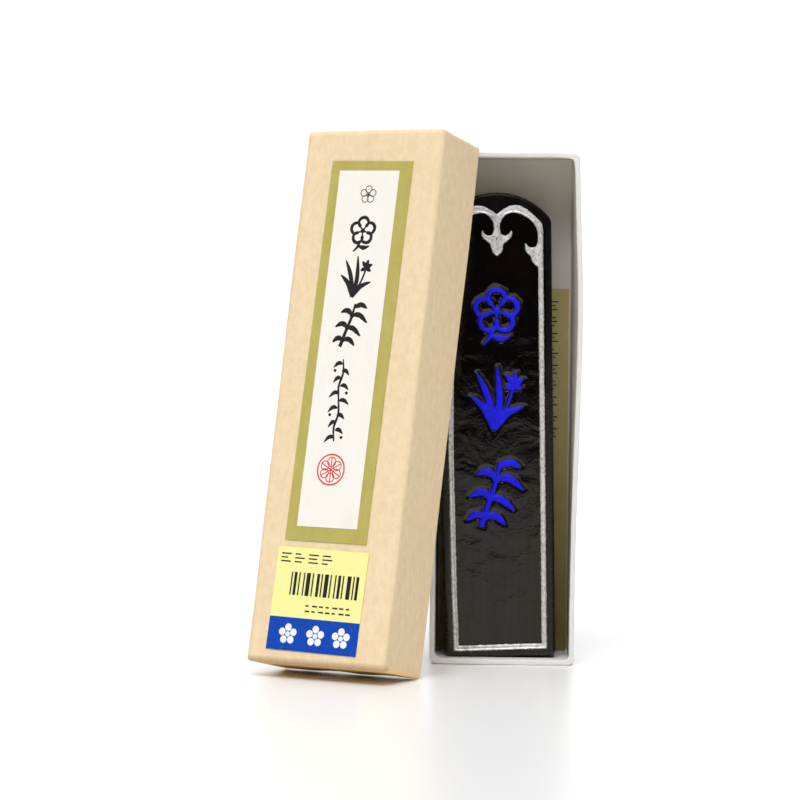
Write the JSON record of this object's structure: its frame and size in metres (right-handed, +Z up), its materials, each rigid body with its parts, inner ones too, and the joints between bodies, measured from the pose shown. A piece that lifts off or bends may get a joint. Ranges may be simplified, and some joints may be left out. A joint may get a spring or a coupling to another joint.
{
  "type": "ink stick",
  "caption": "Moulded ink stick with a silver-edged face and blue inlaid motifs, standing in its paper-covered tray with the labelled lid leaning against it.",
  "frame": {"origin": "centre of the tray's foot, on the surface the tray stands on", "axes": "+Z up along the standing tray, -Y the way the tray's open side and the stick's face look, +X to the right as seen from there"},
  "size_m": [0.0613, 0.0519, 0.1016],
  "materials": {
    "chipboard": "matte grey chipboard",
    "stay_paper": "matte gummed paper",
    "white_paper": "smooth white box paper, slight sheen",
    "beige_paper": "fibrous beige box paper, matte",
    "slip_paper": "thin ochre printed paper",
    "gold_paper": "flat gold label paper",
    "label_paper": "white laid label paper",
    "sticker_paper": "coated yellow sticker paper",
    "ink": "polished black moulded ink, rough border",
    "silver_paint": "silver paint on a moulded ridge",
    "blue_paint": "cobalt blue paint in moulded recesses"
  },
  "bodies": {
    "tray": {"caution_slip": "slip_paper", "tray_base_board": "chipboard", "tray_base_cover": "white_paper", "tray_base_liner": "white_paper", "tray_foot_board": "chipboard", "tray_foot_cover": "white_paper", "tray_left_board": "chipboard", "tray_left_cover": "white_paper", "tray_right_board": "chipboard", "tray_right_cover": "white_paper", "tray_stay_foot_left": "stay_paper", "tray_stay_foot_right": "stay_paper", "tray_stay_top_left": "stay_paper", "tray_stay_top_right": "stay_paper", "tray_top_board": "chipboard", "tray_top_cover": "white_paper"},
    "lid": {"label_mount": "gold_paper", "label_strip": "label_paper", "lid_base_board": "chipboard", "lid_base_cover": "beige_paper", "lid_base_liner": "beige_paper", "lid_foot_board": "chipboard", "lid_foot_cover": "beige_paper", "lid_left_board": "chipboard", "lid_left_cover": "beige_paper", "lid_right_board": "chipboard", "lid_right_cover": "beige_paper", "lid_stay_foot_left": "stay_paper", "lid_stay_foot_right": "stay_paper", "lid_stay_top_left": "stay_paper", "lid_stay_top_right": "stay_paper", "lid_top_board": "chipboard", "lid_top_cover": "beige_paper", "price_sticker": "sticker_paper"},
    "stick": {"blue_inlay_bamboo": "blue_paint", "blue_inlay_blossom": "blue_paint", "blue_inlay_orchid": "blue_paint", "ink_body": "ink", "silver_border": "silver_paint"}
  },
  "joints": [
    {"name": "lid_lift", "type": "slide", "parent": "tray", "child": "lid", "axis": [0, 0, 1], "range_m": [0, 0.12]},
    {"name": "stick_tip", "type": "hinge", "parent": "tray", "child": "stick", "pos_m": [-0.0002, -0.0041, 0.00105], "axis": [1, 0, 0], "range_deg": [0, 6]}
  ]
}
